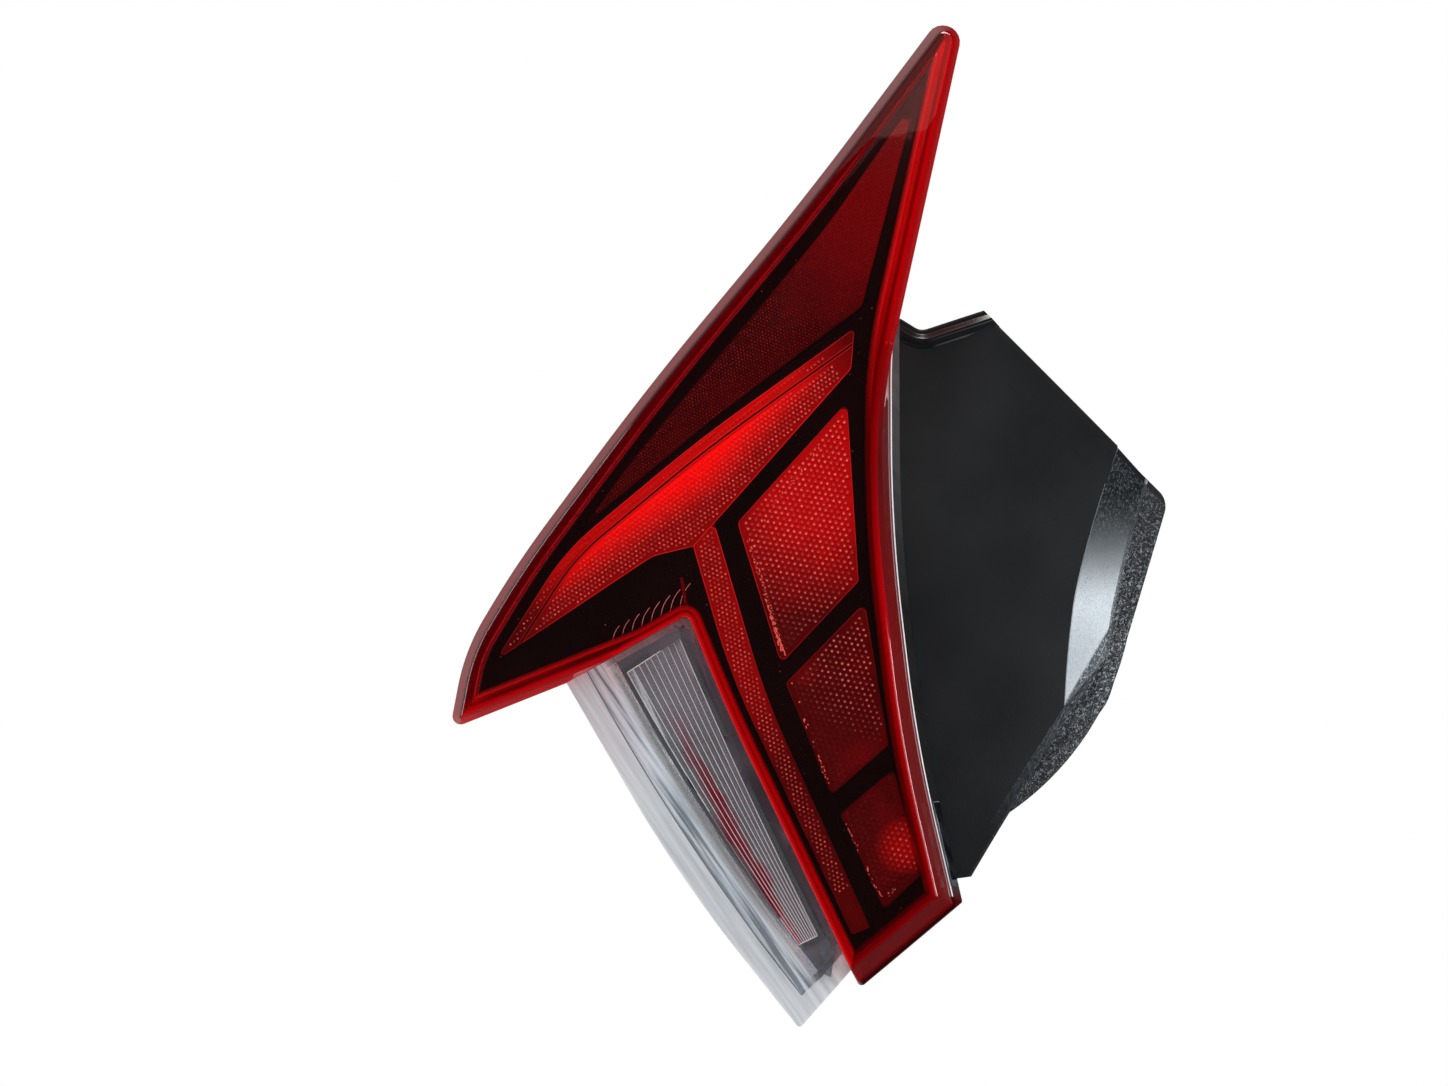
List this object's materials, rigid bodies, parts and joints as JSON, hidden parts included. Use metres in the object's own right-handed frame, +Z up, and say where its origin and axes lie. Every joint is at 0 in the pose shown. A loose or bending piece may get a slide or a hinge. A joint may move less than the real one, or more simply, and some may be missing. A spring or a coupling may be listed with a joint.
{
  "type": "tail light cluster",
  "caption": "Left rear car lamp: red outer lens with a clear reversing window, lit inner lenses behind a black bezel, and a black housing with mounting studs and twist-lock bulb sockets.",
  "frame": {"origin": "midway between the two mounting studs, on the outer face of the housing's back wall", "axes": "+Z up as fitted, +X towards the middle of the car, +Y into the car along the studs, -Y out of the lens to the rear"},
  "size_m": [0.3089, 0.1235, 0.4356],
  "materials": {
    "housing": "black moulding, fine grain, stippled step",
    "red_lens": "polished clear red acrylic",
    "clear_lens": "polished clear acrylic",
    "bezel": "gloss black moulding",
    "lit_red": "red acrylic with pillow optics",
    "reflex_red": "red acrylic with fine prisms",
    "metallised": "vacuum metallised",
    "socket": "grey moulding",
    "seal": "soft rubber",
    "bulb_base": "plated brass",
    "bulb_glass": "clear glass",
    "contacts": "tinned brass",
    "steel": "zinc plated",
    "foam": "closed cell foam"
  },
  "bodies": {
    "root": {"housing": "housing", "red_lens": "red_lens", "clear_lens": "clear_lens", "inner_bezel": "bezel", "tail_lens": "lit_red", "stop_lens": "lit_red", "reflex_panel": "reflex_red", "tail_reflector": "metallised", "stop_reflector": "metallised", "reverse_reflector": "metallised", "reverse_liner": "metallised", "reverse_optic": "clear_lens", "tail_socket": "socket", "stop_socket": "socket", "reverse_socket": "socket", "tail_seal": "seal", "stop_seal": "seal", "reverse_seal": "seal", "tail_bulb_base": "bulb_base", "stop_bulb_base": "bulb_base", "reverse_bulb_base": "bulb_base", "tail_bulb": "bulb_glass", "stop_bulb": "bulb_glass", "reverse_bulb": "bulb_glass", "terminal_blades": "contacts", "mounting_studs": "steel", "stud_pads": "foam", "reflector_screws": "steel", "vent_caps": "seal"}
  },
  "joints": []
}
